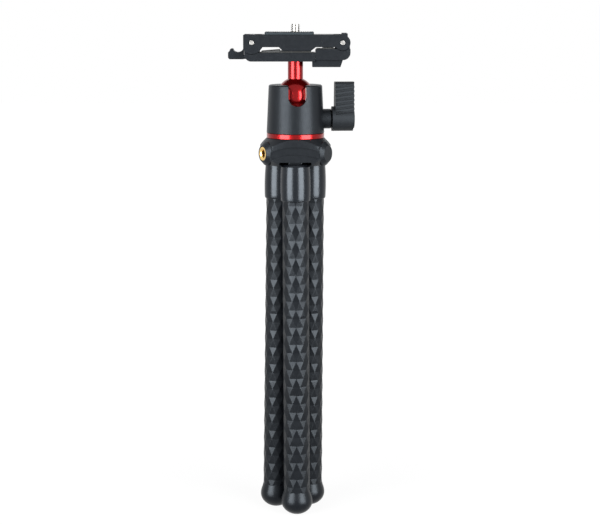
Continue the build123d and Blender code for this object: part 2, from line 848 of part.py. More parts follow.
# Lever knob: a round hub and one grooved arm
knob_start = collar_end + knob_gap
with BuildPart() as lever_knob:
    with BuildSketch(knob_plane.offset(knob_start)):
        Circle(knob_hub_radius)
    extrude(amount=knob_hub_end - knob_start)
    with BuildSketch(knob_plane.offset(arm_start)):
        with BuildLine():
            Polyline(
                (-arm_base_width / 2, 0),
                (arm_base_width / 2, 0),
                (arm_tip_width / 2, arm_reach),
                (-arm_tip_width / 2, arm_reach),
                close=True,
            )
        make_face()
        fillet(vertices().group_by(Axis.Y)[-1], arm_corner)
    extrude(amount=arm_end - arm_start)
    with BuildSketch(knob_plane.offset(knob_hub_end)):
        Circle(knob_cap_radius)
    extrude(amount=knob_cap_rise)
    lean = degrees(atan2(groove_depth, arm_end - arm_start))
    for side in (-1, 1):
        for groove in range(groove_count):
            height = groove_first + groove * groove_pitch
            width = arm_base_width + (arm_tip_width - arm_base_width) * height / arm_reach
            groove_plane = knob_plane.offset(arm_end)
            middle = groove_plane.from_local_coords((side * width / 2, height, 0))
            tool_plane = Plane(
                origin=middle,
                x_dir=groove_plane.x_dir,
                z_dir=groove_plane.z_dir,
            ).rotated((0, side * lean, 0))
            with BuildSketch(tool_plane.offset(-(arm_end - arm_start))):
                Rectangle(2 * groove_depth, groove_height)
            extrude(amount=arm_end - arm_start + overrun, mode=Mode.SUBTRACT)
    with BuildSketch(knob_plane.offset(knob_start)):
        Circle(lock_radius)
    extrude(amount=lock_end - knob_start, mode=Mode.SUBTRACT)
keep(lever_knob.part, "lever_knob")

# Red ring under the housing
with BuildPart() as base_ring:
    with BuildSketch(Plane.XY.offset(hub_top)):
        Circle(ring_radius)
        Circle(stud_radius, mode=Mode.SUBTRACT)
    extrude(amount=ring_top - hub_top)
    outer_edges = base_ring.edges().filter_by(GeomType.CIRCLE).sort_by(SortBy.RADIUS)[-2:]
    chamfer(outer_edges, ring_edge)
keep(base_ring.part, "base_ring")

# Stud: fixed in the hub, its flange holds the head down
with BuildPart() as pan_stud:
    with BuildSketch(Plane.XY.offset(stud_top)):
        Circle(stud_flange_radius)
    extrude(amount=stud_flange_height)
    with BuildSketch(Plane.XY.offset(stud_bottom)):
        Circle(stud_radius)
    extrude(amount=stud_top - stud_bottom)
keep(pan_stud.part, "pan_stud")

# Outline of the hub from above: bulging sides at the crown, flat sides under the coves
with BuildPart() as hub_form:
    with BuildSketch(Plane.XY.offset(hub_top)):
        Circle(hub_side_radius)
        for leg in range(leg_count):
            angle = radians(first_leg_angle + leg * 360 / leg_count)
            side_middle = (hub_radius - hub_side_radius) * Vector(cos(angle), sin(angle))
            with Locations(side_middle):
                Circle(hub_side_radius, mode=Mode.INTERSECT)
    extrude(amount=-(cove_start + cove_height / 2))
    with BuildSketch(Plane.XY.offset(hub_foot)):
        RegularPolygon(
            2 * hub_skirt_radius, leg_count, rotation=first_leg_angle + 180 / leg_count
        )
    extrude(amount=hub_top - cove_start - cove_height / 2 - hub_foot)

# Hub: three sides with a cove over each leg and a round lobe at each corner
with BuildPart() as leg_hub:
    with BuildSketch(Plane.XZ):
        with BuildLine():
            Polyline(
                (0, hub_top),
                (hub_radius, hub_top),
                (hub_corner_radius, hub_top - hub_shoulder),
                (hub_corner_radius, hub_foot + hub_corner_slope),
                (hub_corner_radius - hub_corner_slope, hub_foot),
                (0, hub_foot),
                close=True,
            )
        make_face()
    revolve(axis=Axis.Z)
    add(hub_form.part, mode=Mode.INTERSECT)
    for leg in range(leg_count):
        angle = radians(first_leg_angle + (leg + 1 / 2) * 360 / leg_count)
        lobe_plane = Plane(
            origin=(0, 0, -lobe_drop),
            x_dir=(-sin(angle), cos(angle), 0),
            z_dir=(cos(angle), sin(angle), 0),
        )
        with BuildSketch(lobe_plane):
            Circle(lobe_radius)
        extrude(amount=lobe_reach - lobe_chamfer)
        with BuildSketch(lobe_plane.offset(lobe_reach - lobe_chamfer)):
            Circle(lobe_radius)
        with BuildSketch(lobe_plane.offset(lobe_reach)):
            Circle(lobe_radius - lobe_chamfer)
        loft()
    for leg in range(leg_count):
        angle = radians(first_leg_angle + leg * 360 / leg_count)
        cove_plane = Plane(
            origin=(cove_radius * cos(angle), cove_radius * sin(angle), 0),
            x_dir=(-sin(angle), cos(angle), 0),
            z_dir=(cos(angle), sin(angle), 0),
        )
        with BuildSketch(cove_plane):
            with Locations((0, -cove_top_drop - cove_arc_radius)):
                Circle(cove_arc_radius)
            with Locations((0, -cove_top_drop - cove_height - cove_arc_radius)):
                Circle(cove_arc_radius, mode=Mode.SUBTRACT)
            with Locations((0, -cove_top_drop)):
                Rectangle(2 * cove_half_width, 4 * cove_height, mode=Mode.INTERSECT)
        extrude(amount=hub_radius, mode=Mode.SUBTRACT)
    for plane in leg_planes:
        with BuildSketch(plane):
            Circle(cup_room)
            with Locations((cup_room, 0)):
                Rectangle(2 * cup_room, 2 * cup_room)
        extrude(amount=-(hub_droop + overrun), mode=Mode.SUBTRACT)
        lug_front_wall = hub_skirt_radius - lug_slot_wall - leg_circle_top
        lug_back_wall = lug_x - lug_radius - soft_gap
        with BuildSketch(plane):
            with Locations(((lug_front_wall + lug_back_wall) / 2, 0)):
                Rectangle(lug_front_wall - lug_back_wall, lug_width + 2 * face_gap)
        extrude(amount=lug_z + lug_radius + lug_roof, mode=Mode.SUBTRACT)
        pin_plane = Plane(
            origin=plane.from_local_coords((lug_x, 0, lug_z)), x_dir=plane.x_dir, z_dir=plane.y_dir
        )
        with BuildSketch(pin_plane):
            Circle(leg_pin_radius)
        extrude(amount=leg_pin_length / 2, both=True, mode=Mode.SUBTRACT)
    with BuildSketch(Plane.XY.offset(stud_bottom)):
        Circle(stud_radius)
    extrude(amount=hub_top - stud_bottom, mode=Mode.SUBTRACT)
    insert_angle = radians(first_leg_angle - 180 / leg_count)
    insert_plane = Plane(
        origin=(
            (lobe_reach - insert_length) * cos(insert_angle),
            (lobe_reach - insert_length) * sin(insert_angle),
            -lobe_drop,
        ),
        x_dir=(-sin(insert_angle), cos(insert_angle), 0),
        z_dir=(cos(insert_angle), sin(insert_angle), 0),
    )
    with BuildSketch(insert_plane):
        Circle(insert_radius)
    extrude(amount=insert_length + overrun, mode=Mode.SUBTRACT)
keep(leg_hub.part, "leg_hub")

# Brass threaded insert in the front left lobe
with BuildPart() as thread_insert:
    with BuildSketch(insert_plane):
        Circle(insert_radius)
        Circle(insert_hole_radius, mode=Mode.SUBTRACT)
    extrude(amount=insert_length)
    mouth = thread_insert.edges().filter_by(GeomType.CIRCLE).sort_by(Axis.X)[:2]
    chamfer(mouth.sort_by(SortBy.RADIUS)[0], insert_rim)
keep(thread_insert.part, "thread_insert")

# Leg pins: three steel pins across the hub's slots
leg_pin_solids = []
for plane in leg_planes:
    with BuildPart() as leg_pin:
        pin_plane = Plane(
            origin=plane.from_local_coords((lug_x, 0, lug_z)), x_dir=plane.x_dir, z_dir=plane.y_dir
        )
        with BuildSketch(pin_plane):
            Circle(leg_pin_radius)
        extrude(amount=leg_pin_length / 2, both=True)
    leg_pin_solids.append(leg_pin.part)
keep(Compound(children=leg_pin_solids), "leg_pins")

# Leg cup in the leg's own frame: a barrel with a lug on top and a round dish below
cup_top = hub_bottom_drop - cup_top_drop
cup_bottom = hub_bottom_drop - cup_bottom_drop
bend_level = hub_bottom_drop - first_bend_drop
with BuildPart() as leg_cup:
    with BuildSketch(Plane.XZ):
        with BuildLine():
            top_edge = Line((0, cup_top), (cup_top_radius, cup_top))
            shoulder = Line(top_edge @ 1, (cup_shoulder_radius, cup_top - cup_shoulder))
            side = ThreePointArc(
                shoulder @ 1,
                (cup_belly_radius, (cup_top + cup_bottom) / 2),
                (cup_bottom_radius, cup_bottom + cup_lip),
            )
            lip = Line(side @ 1, (cup_bottom_radius - cup_lip / 2, cup_bottom))
            bottom_edge = Line(lip @ 1, (0, cup_bottom))
            Line(bottom_edge @ 1, top_edge @ 0)
        make_face()
    revolve(axis=Axis.Z)
    with Locations((0, 0, bend_level)):
        Sphere(dish_radius, mode=Mode.SUBTRACT)
    with BuildSketch(Plane.XZ):
        with Locations((lug_x, lug_z)):
            Circle(lug_radius)
            with Locations((lug_front, 0)):
                Rectangle(
                    lug_radius + lug_front,
                    lug_z - cup_top + cup_shoulder,
                    align=(Align.MAX, Align.MAX),
                )
    extrude(amount=lug_width / 2, both=True)
    with BuildSketch(Plane.XZ):
        with Locations((lug_x, lug_z)):
            Circle(leg_pin_radius + run_gap)
    extrude(amount=lug_width, both=True, mode=Mode.SUBTRACT)


def facet_ring(ring):
    """The corners of one ring of the sleeve's pattern; every second ring is turned half a pitch."""
    step = 2 * pi / facet_count
    turn = step / 2 * (ring % 2)
    level = bend_level - ring * row_height
    return [
        (leg_radius * cos(turn + i * step), leg_radius * sin(turn + i * step), level)
        for i in range(facet_count)
    ]


def faceted_column(first_ring, last_ring):
    """A closed column of triangular facets between two rings."""
    rings = [facet_ring(ring) for ring in range(first_ring, last_ring + 1)]
    faces = [Face(Wire.make_polygon(rings[0])), Face(Wire.make_polygon(rings[-1]))]
    for number, (upper, lower) in enumerate(zip(rings, rings[1:])):
        lead = (first_ring + number) % 2
        for i in range(facet_count):
            following = (i + 1) % facet_count
            below = (i + lead) % facet_count
            below_back = (below - 1) % facet_count
            faces.append(Face(Wire.make_polygon([upper[i], lower[below], lower[below_back]])))
            faces.append(Face(Wire.make_polygon([upper[i], upper[following], lower[below]])))
    return Solid(Shell(faces))


def segment_profile(segment, radius):
    """Half the section of a segment: domed at its upper bend, dished at the lower one or flat."""
    top = bend_level - segment * segment_length
    bottom = top - segment_length
    last = segment == segment_count - 1
    with BuildSketch(Plane.XZ) as half:
        with BuildLine():
            rise = sqrt(dome_radius**2 - radius**2)
            crown = ThreePointArc(
                (0, top + dome_radius),
                (radius / 2, top + sqrt(dome_radius**2 - (radius / 2) ** 2)),
                (radius, top + rise),
            )
            end = bottom if last else bottom + sqrt(dish_radius**2 - radius**2)
            wall = Line(crown @ 1, (radius, end))
            if last:
                under = Line(wall @ 1, (0, bottom))
            else:
                under = ThreePointArc(
                    wall @ 1,
                    (radius / 2, bottom + sqrt(dish_radius**2 - (radius / 2) ** 2)),
                    (0, bottom + dish_radius),
                )
            Line(under @ 1, crown @ 0)
        make_face()
    return half.sketch


# Core and sleeve of each leg segment, in the leg's own frame
cores = []
sleeves = []
for segment in range(segment_count):
    with BuildPart() as core:
        add(segment_profile(segment, core_radius))
        revolve(axis=Axis.Z)
        if segment == segment_count - 1:
            with BuildSketch(Plane.XY.offset(bend_level - segment_count * segment_length)):
                Circle(core_radius)
            extrude(amount=-core_in_foot)
    cores.append(core.part)
    first_ring = floor((segment * segment_length - leg_radius) / row_height) - 1
    last_ring = ceil((segment + 1) * segment_length / row_height) + 1
    with BuildPart() as trimmed:
        add(segment_profile(segment, min(leg_radius + close_gap, dome_radius)))
        revolve(axis=Axis.Z)
    with BuildPart() as sleeve:
        add(faceted_column(first_ring, last_ring))
        add(trimmed.part, mode=Mode.INTERSECT)
        add(core.part, mode=Mode.SUBTRACT)
    sleeves.append(sleeve.part)

# Rubber foot in the leg's own frame; the floor cuts its dome flat
foot_top = hub_bottom_drop - foot_top_drop
with BuildPart() as leg_foot:
    with BuildSketch(Plane.XZ):
        with BuildLine():
            top_edge = Line((0, foot_top), (foot_waist_radius, foot_top))
            shoulder = Spline(
                top_edge @ 1,
                (foot_radius, foot_top - foot_equator),
                tangents=[(1, -1), (0, -1)],
            )
            dome = EllipticalCenterArc(
                (0, foot_top - foot_equator),
                foot_radius,
                foot_dome,
                start_angle=270,
                arc_size=90,
            )
            Line(dome @ 0, top_edge @ 0)
        make_face()
    revolve(axis=Axis.Z)
    with BuildSketch(Plane.XY.offset(foot_top)):
        Circle(core_radius)
    extrude(amount=-core_in_foot, mode=Mode.SUBTRACT)

# Three legs, each with its own pieces, and each foot cut flat by the floor
floor_block = Pos(0, 0, -floor_drop) * Box(
    2 * lobe_reach + 2 * leg_circle_foot,
    2 * lobe_reach + 2 * leg_circle_foot,
    foot_dome,
    align=(Align.CENTER, Align.CENTER, Align.MAX),
)
for leg, plane in enumerate(leg_planes):
    number = leg + 1
    keep(plane.location * leg_cup.part, f"leg_{number}_cup")
    for segment in range(segment_count):
        keep(plane.location * cores[segment], f"leg_{number}_core_{segment + 1}")
        keep(plane.location * sleeves[segment], f"leg_{number}_sleeve_{segment + 1}")
    keep(plane.location * leg_foot.part - floor_block, f"leg_{number}_foot")
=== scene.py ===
"""Looks of a flexible leg tripod: folding camera clamp, red ball head, lobed hub and three facet legs."""
import json
import math
from typing import NamedTuple

import bmesh
import bpy
from bpy.props import FloatProperty, FloatVectorProperty, IntProperty, PointerProperty
from mathutils import Matrix, Vector

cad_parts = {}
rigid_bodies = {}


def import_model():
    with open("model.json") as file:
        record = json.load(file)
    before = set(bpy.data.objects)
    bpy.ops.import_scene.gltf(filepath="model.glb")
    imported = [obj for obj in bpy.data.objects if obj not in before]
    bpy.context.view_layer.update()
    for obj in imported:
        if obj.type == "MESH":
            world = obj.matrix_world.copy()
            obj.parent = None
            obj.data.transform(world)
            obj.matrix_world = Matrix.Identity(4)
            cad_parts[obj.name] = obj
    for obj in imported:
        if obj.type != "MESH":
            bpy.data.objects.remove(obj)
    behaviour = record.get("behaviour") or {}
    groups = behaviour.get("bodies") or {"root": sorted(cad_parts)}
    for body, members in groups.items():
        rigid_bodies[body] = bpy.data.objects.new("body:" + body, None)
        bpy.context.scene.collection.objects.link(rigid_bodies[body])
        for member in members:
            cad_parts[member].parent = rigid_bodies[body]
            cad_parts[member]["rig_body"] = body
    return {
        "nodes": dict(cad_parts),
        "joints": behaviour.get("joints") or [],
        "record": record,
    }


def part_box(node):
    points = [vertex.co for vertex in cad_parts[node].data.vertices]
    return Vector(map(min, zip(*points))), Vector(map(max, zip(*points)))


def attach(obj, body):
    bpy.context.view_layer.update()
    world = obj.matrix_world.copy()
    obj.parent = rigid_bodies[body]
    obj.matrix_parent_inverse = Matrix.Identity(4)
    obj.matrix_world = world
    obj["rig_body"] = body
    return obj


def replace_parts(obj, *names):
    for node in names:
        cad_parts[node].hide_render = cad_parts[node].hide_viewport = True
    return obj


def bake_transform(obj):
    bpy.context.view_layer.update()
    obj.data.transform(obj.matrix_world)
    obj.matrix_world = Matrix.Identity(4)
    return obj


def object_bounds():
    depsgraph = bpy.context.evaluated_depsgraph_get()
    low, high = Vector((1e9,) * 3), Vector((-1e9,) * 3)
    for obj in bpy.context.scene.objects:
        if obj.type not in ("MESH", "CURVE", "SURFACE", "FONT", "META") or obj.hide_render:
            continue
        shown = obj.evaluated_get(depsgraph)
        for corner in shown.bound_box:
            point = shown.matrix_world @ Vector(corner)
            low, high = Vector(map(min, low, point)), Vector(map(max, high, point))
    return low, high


bl_info = {
    "name": "Flexible Leg Tripod",
    "version": (1, 0, 0),
    "blender": (4, 5, 0),
    "location": "View3D > Sidebar > Tripod",
    "description": "Dresses the packed frame of a flexible leg tripod and sets up its studio",
    "category": "Object",
}

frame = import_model()
cad_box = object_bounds()
joints = {joint["name"]: joint for joint in frame["joints"]}
mounts = {mount["name"]: mount for mount in frame["record"]["mounts"]}
body_of = {node: obj["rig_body"] for node, obj in frame["nodes"].items()}

MM = 0.001
LEG_COUNT = 3
BEND_COUNT = 4
WELD = 0.001 * MM
FLAT_ANGLE = math.radians(0.5)
SMOOTH_ANGLE = math.radians(35)
COOL_WHITE = (0.80, 0.90, 1.0, 1.0)
SENSOR_WIDTH = 36.0

# The parts of a noise's range over which the colour and the roughness vary
TONE_RANGE = (0.32, 0.68)
GLOSS_RANGE = (0.3, 0.7)

# Shares of the pitch at which a thread's tooth starts to rise, reaches its crest and leaves it
TOOTH_RISE, TOOTH_CREST, TOOTH_FALL = 0.25, 0.56, 0.69

# Turns of thread made beyond its length, before the ends are cut off
SPARE_TURNS = 2

# The slanted wall of a groove is as wide as the groove's depth over this
RIB_STEEPNESS = 3

# Rows of facets made above the first bend, and again below a leg's last part, before the tube is cut
SPARE_ROWS = 2

# The foot's swell over these gives the width of its collar's lip, the lip's drop and how far the
# collar stands out, and the height at which the collar ends
COLLAR_LIP, COLLAR_STEP, COLLAR_END = 5, 17, 6

# Shares of the way down to the foot's widest place
SWELL_SHARES = (0.2, 0.4, 0.6, 0.8)
FOOT_STEPS = 96
DOME_STEPS = 24

# Waves per metre of the floor's noise
FLOOR_GRAIN = 2.0
FLOOR_SPREAD = 0.01
FLOOR_ROUGHNESS = 0.9
FLOOR_SPECULAR = 0.1


def millimetres(name, description, default):
    """A length property whose default is given in millimetres."""
    return FloatProperty(
        name=name, description=description, default=default * MM, min=0.0,
        precision=5, subtype="DISTANCE", unit="LENGTH",
    )


def degrees(name, description, default):
    """An angle property whose default is given in degrees."""
    return FloatProperty(
        name=name, description=description, default=math.radians(default),
        subtype="ANGLE", unit="ROTATION",
    )


def number(name, description, default):
    """A plain number property."""
    return FloatProperty(name=name, description=description, default=default)


def colour(name, description, default):
    """A linear colour property."""
    return FloatVectorProperty(
        name=name, description=description, default=default, size=3, min=0.0, max=1.0,
        subtype="COLOR",
    )


class TripodSizes(bpy.types.PropertyGroup):
    """Sizes of the details that are modelled here"""

    edge_round: millimetres("Edge rounding", "Rounding of machined edges", 0.16)
    moulded_round: millimetres("Moulded rounding", "Rounding of moulded edges", 0.3)
    edge_steps: IntProperty(name="Edge steps", description="Faces across a rounded edge", default=2, min=1)
    thread_pitch: millimetres("Thread pitch", "Pitch of the camera screw's thread", 1.27)
    thread_depth: millimetres("Thread depth", "Depth of the camera screw's thread", 0.72)
    thread_chamfer: millimetres("Thread chamfer", "Chamfer at the camera screw's tip", 0.5)
    thread_steps: IntProperty(name="Thread steps", description="Faces round the thread", default=48, min=12)
    rib_pitch: millimetres("Rib pitch", "Distance between the ribs of the rubber pads", 1.5)
    rib_groove: millimetres("Rib groove", "Width of the groove between two ribs", 0.6)
    rib_depth: millimetres("Rib depth", "Depth of the groove between two ribs", 0.4)
    sleeve_radius: millimetres("Sleeve radius", "Radius at the corners of the leg's facets", 9.3)
    facet_count: IntProperty(name="Facets", description="Facets in one row of a leg", default=11, min=3)
    row_height: millimetres("Row height", "Height of one row of facets", 6.04)
    facet_sink: millimetres("Facet sink", "How far the middle of each diamond lies below its edge", 0.5)
    facet_edge: millimetres("Facet edge", "Rounding of the ridges between the facets", 0.2)
    bend_reach: millimetres("Bend reach", "Length of leg that bends, each side of a bend", 20.0)
    sleeve_top: millimetres(
        "Sleeve top", "How far the sleeve reaches into its cup, above the first bend", 2.6,
    )
    foot_collar: millimetres("Foot collar", "How far the foot's collar climbs up the leg", 1.7)
    foot_equator: millimetres("Foot equator", "From the foot's top down to its widest place", 6.7)
    foot_radius: millimetres("Foot radius", "Radius of the foot at its widest place", 11.0)
    foot_dome: millimetres("Foot dome", "Height of the foot below its widest place", 9.3)
    strip_height: millimetres("Strip height", "Thickness of the rubber strip under the boss", 1.0)
    strip_end: millimetres("Strip end", "From the screw's axis to the strip's right end", 10.8)


class TripodColours(bpy.types.PropertyGroup):
    """Colours of the finishes"""

    black_metal: colour("Black metal", "Satin anodised aluminium", (0.004, 0.0046, 0.0056))
    red_metal: colour("Red metal", "Bright anodised aluminium", (0.21, 0.002, 0.003))
    steel: colour("Steel", "Plain steel", (0.42, 0.415, 0.40))
    brass: colour("Brass", "Turned brass", (0.78, 0.54, 0.20))
    cup_plastic: colour("Cup plastic", "Smooth dark plastic", (0.002, 0.0024, 0.0034))
    knob_plastic: colour("Knob plastic", "Matt dark plastic", (0.0036, 0.0042, 0.005))
    seat_plastic: colour("Seat plastic", "Low friction plastic", (0.70, 0.70, 0.66))
    leg_rubber: colour("Leg rubber", "Moulded leg sleeve", (0.0022, 0.0026, 0.0034))
    pad_rubber: colour("Pad rubber", "Camera pad", (0.009, 0.0125, 0.0145))
    grip_rubber: colour("Grip rubber", "Inner pads", (0.005, 0.006, 0.006))
    core_metal: colour("Core metal", "Soft aluminium core", (0.70, 0.71, 0.72))


class TripodStudio(bpy.types.PropertyGroup):
    """Camera and lights"""

    lens: number("Lens", "Focal length on a 36 mm sensor, in millimetres", 96.8)
    camera_distance: millimetres("Camera distance", "From the stem's axis to the camera", 1115.0)
    camera_side: millimetres("Camera side", "How far the camera stands to the right", 3.15)
    camera_height: millimetres("Camera height", "Above the camera seat", 22.6)
    camera_tilt: degrees("Camera tilt", "How far the camera looks down", 9.3)
    softbox_angle: degrees("Softbox angle", "Between the camera's side and each front softbox", 44.0)
    softbox_distance: millimetres("Softbox distance", "From the stem's axis to a softbox", 1000.0)
    softbox_width: millimetres("Softbox width", "Width of the softboxes", 720.0)
    softbox_height: millimetres("Softbox height", "Height of the softboxes", 1000.0)
    softbox_rise: millimetres("Softbox rise", "Height of a softbox's middle above the camera seat", 80.0)
    softbox_light: number("Softbox light", "Radiance of the front softboxes", 15.0)
    back_light: number("Back light", "Radiance of the softboxes behind", 1.0)
    surround: number("Surround", "Strength of the even light all round", 0.3)
    white: colour("Background", "Colour of the background", (1.0, 1.0, 1.0))
    floor: colour("Floor", "Colour of the floor in the light it throws back", (0.3, 0.3, 0.3))
    floor_glow: number("Floor glow", "Own light of the floor near the feet", 0.84)
    floor_shade: colour(
        "Floor shade", "Colour that the softboxes add to the floor's own light", (0.06, 0.06, 0.06),
    )
    shade_near: millimetres("Shade near", "Distance at which the floor starts to fade out", 150.0)
    shade_far: millimetres("Shade far", "Distance at which the floor is plain white", 600.0)
    floor_size: millimetres("Floor size", "Side of the floor", 9000.0)


def sizes():
    """The sizes that are set in the scene."""
    return bpy.context.scene.tripod_sizes


def shader_nodes(name, metallic=0.0, sheen=None):
    """A new material with its node tree and its Principled shader.

    sheen is the level of a cool, weak reflection; without it the shader keeps its own.
    """
    material = bpy.data.materials.new(name)
    material.use_nodes = True
    tree = material.node_tree
    shader = tree.nodes["Principled BSDF"]
    shader.inputs["Metallic"].default_value = metallic
    if sheen is not None:
        shader.inputs["Specular IOR Level"].default_value = sheen
        shader.inputs["Specular Tint"].default_value = COOL_WHITE
    return material, tree, shader


def noise(tree, scale, detail=3.0, stretch=(1.0, 1.0, 1.0)):
    """Noise on the piece's own coordinates, in waves per metre, stretched along the axes."""
    place = tree.nodes.new("ShaderNodeTexCoord")
    mapping = tree.nodes.new("ShaderNodeMapping")
    mapping.inputs["Scale"].default_value = stretch
    texture = tree.nodes.new("ShaderNodeTexNoise")
    texture.inputs["Scale"].default_value = scale
    texture.inputs["Detail"].default_value = detail
    tree.links.new(place.outputs["Object"], mapping.inputs["Vector"])
    tree.links.new(mapping.outputs["Vector"], texture.inputs["Vector"])
    return texture.outputs["Fac"]


def tint(tree, shader, factor, base, spread):
    """Vary the base colour about its middle by a share."""
    ramp = tree.nodes.new("ShaderNodeValToRGB")
    first, last = ramp.color_ramp.elements
    first.position, last.position = TONE_RANGE
    first.color = (*(channel * (1 - spread) for channel in base), 1.0)
    last.color = (*(min(1.0, channel * (1 + spread)) for channel in base), 1.0)
    tree.links.new(factor, ramp.inputs["Fac"])
    tree.links.new(ramp.outputs["Color"], shader.inputs["Base Color"])


def sheen_range(tree, shader, factor, low, high):
    """Vary the roughness between two values."""
    spread = tree.nodes.new("ShaderNodeMapRange")
    spread.inputs["From Min"].default_value = GLOSS_RANGE[0]
    spread.inputs["From Max"].default_value = GLOSS_RANGE[1]
    spread.inputs["To Min"].default_value = low
    spread.inputs["To Max"].default_value = high
    tree.links.new(factor, spread.inputs["Value"])
    tree.links.new(spread.outputs["Result"], shader.inputs["Roughness"])


def relief(tree, shader, height, depth):
    """Raise the surface by a height pattern, up to a depth in metres."""
    bump = tree.nodes.new("ShaderNodeBump")
    bump.inputs["Distance"].default_value = depth
    tree.links.new(height, bump.inputs["Height"])
    tree.links.new(bump.outputs["Normal"], shader.inputs["Normal"])


class Grain(NamedTuple):
    """A noise: its waves per metre, its detail and its stretch along the axes."""

    scale: float
    detail: float = 3.0
    stretch: tuple = (1.0, 1.0, 1.0)


class Look(NamedTuple):
    """A finish: the noises of its colour, roughness and relief, and the inputs of its shader."""

    tone: Grain
    tone_spread: float
    gloss: Grain
    smoothest: float
    roughest: float
    bumps: Grain
    bump_depth: float
    metallic: float = 0.0
    sheen: float | None = None
    inputs: tuple = ()


LOOKS = {
    # Bead blasted and anodised aluminium with a fine even grain
    "black_metal": Look(
        tone=Grain(70.0), tone_spread=0.10, gloss=Grain(420.0), smoothest=0.34, roughest=0.42,
        bumps=Grain(3200.0, detail=2.0), bump_depth=0.012 * MM, metallic=0.15, sheen=0.17,
    ),
    # Turned aluminium, bright anodised, with faint lathe lines and a clear film over it
    "red_metal": Look(
        tone=Grain(45.0), tone_spread=0.06, gloss=Grain(260.0), smoothest=0.20, roughest=0.28,
        bumps=Grain(40.0, stretch=(1.0, 1.0, 110.0)), bump_depth=0.004 * MM, metallic=0.92,
        inputs=(("Coat Weight", 0.35), ("Coat IOR", 1.4), ("Coat Roughness", 0.12)),
    ),
    # Plain steel with fine drawn lines
    "steel": Look(
        tone=Grain(240.0), tone_spread=0.10, gloss=Grain(900.0), smoothest=0.20, roughest=0.34,
        bumps=Grain(60.0, stretch=(1.0, 60.0, 60.0)), bump_depth=0.004 * MM, metallic=1.0,
    ),
    # Turned brass, a little darker where the tool left its marks
    "brass": Look(
        tone=Grain(500.0, detail=5.0), tone_spread=0.16, gloss=Grain(1100.0), smoothest=0.18,
        roughest=0.32, bumps=Grain(1600.0), bump_depth=0.006 * MM, metallic=1.0,
    ),
    # Smooth moulded plastic with the faint waviness of a glossy moulding
    "cup_plastic": Look(
        tone=Grain(55.0), tone_spread=0.08, gloss=Grain(300.0), smoothest=0.20, roughest=0.27,
        bumps=Grain(240.0, detail=1.0), bump_depth=0.006 * MM, sheen=0.28,
    ),
    # Matt moulded plastic with a spark eroded grain
    "knob_plastic": Look(
        tone=Grain(120.0), tone_spread=0.12, gloss=Grain(700.0), smoothest=0.46, roughest=0.60,
        bumps=Grain(2400.0, detail=4.0), bump_depth=0.020 * MM, sheen=0.2,
    ),
    # Low friction plastic with a waxy skin
    "seat_plastic": Look(
        tone=Grain(150.0), tone_spread=0.05, gloss=Grain(500.0), smoothest=0.34, roughest=0.44,
        bumps=Grain(900.0), bump_depth=0.008 * MM,
        inputs=(("Subsurface Weight", 0.1), ("Subsurface Scale", MM)),
    ),
    # Moulded rubber: satin facets with a fine skin and traces of handling
    "leg_rubber": Look(
        tone=Grain(38.0, detail=6.0), tone_spread=0.16, gloss=Grain(160.0, detail=5.0),
        smoothest=0.28, roughest=0.38, bumps=Grain(1500.0, detail=4.0), bump_depth=0.014 * MM,
        sheen=0.18,
    ),
    # Grey rubber of the camera pad, with an open, dry grain
    "pad_rubber": Look(
        tone=Grain(260.0, detail=5.0), tone_spread=0.14, gloss=Grain(600.0), smoothest=0.58,
        roughest=0.74, bumps=Grain(1900.0, detail=5.0), bump_depth=0.030 * MM, sheen=0.2,
    ),
    # Black rubber of the inner pads, matt, with a fine grain
    "grip_rubber": Look(
        tone=Grain(220.0, detail=5.0), tone_spread=0.18, gloss=Grain(500.0), smoothest=0.60,
        roughest=0.78, bumps=Grain(2100.0, detail=5.0), bump_depth=0.026 * MM,
    ),
    # Drawn soft aluminium, dull, with lines along the rod
    "core_metal": Look(
        tone=Grain(130.0), tone_spread=0.08, gloss=Grain(700.0), smoothest=0.36, roughest=0.50,
        bumps=Grain(70.0, stretch=(60.0, 60.0, 1.0)), bump_depth=0.005 * MM, metallic=1.0,
    ),
}


def make_material(name, base, look):
    """A material with a base colour and a look."""
    material, tree, shader = shader_nodes(name, look.metallic, look.sheen)
    for label, value in look.inputs:
        shader.inputs[label].default_value = value
    tint(tree, shader, noise(tree, *look.tone), base, look.tone_spread)
    sheen_range(tree, shader, noise(tree, *look.gloss), look.smoothest, look.roughest)
    relief(tree, shader, noise(tree, *look.bumps), look.bump_depth)
    return material


def finish(slot):
    """The material of a slot, made at its first use."""
    material = bpy.data.materials.get(f"tripod_{slot}")
    if material is None:
        base = getattr(bpy.context.scene.tripod_colours, slot)
        material = make_material(f"tripod_{slot}", tuple(base), LOOKS[slot])
    return material


def paint_nodes(nodes, slot):
    """Give the CAD nodes that stay the material of a slot."""
    for node in nodes:
        mesh = frame["nodes"][node].data
        mesh.materials.clear()
        mesh.materials.append(finish(slot))


def merged_copy(node):
    """A bmesh of a CAD node, its loose triangles welded and its flat faces joined."""
    mesh = bmesh.new()
    mesh.from_mesh(frame["nodes"][node].data)
    bmesh.ops.remove_doubles(mesh, verts=mesh.verts, dist=WELD)
    bmesh.ops.dissolve_limit(
        mesh, angle_limit=FLAT_ANGLE, use_dissolve_boundaries=False,
        verts=mesh.verts, edges=mesh.edges, delimit=set(),
    )
    return mesh


def round_edges(mesh, width, steps):
    """Round every edge that is too sharp to be shaded smooth."""
    sharp = [edge for edge in mesh.edges if edge.is_manifold and edge.calc_face_angle() > SMOOTH_ANGLE]
    bmesh.ops.bevel(
        mesh, geom=sharp, offset=width, offset_type="OFFSET", segments=steps, profile=0.5,
        affect="EDGES", clamp_overlap=True, material=-1, loop_slide=True,
    )


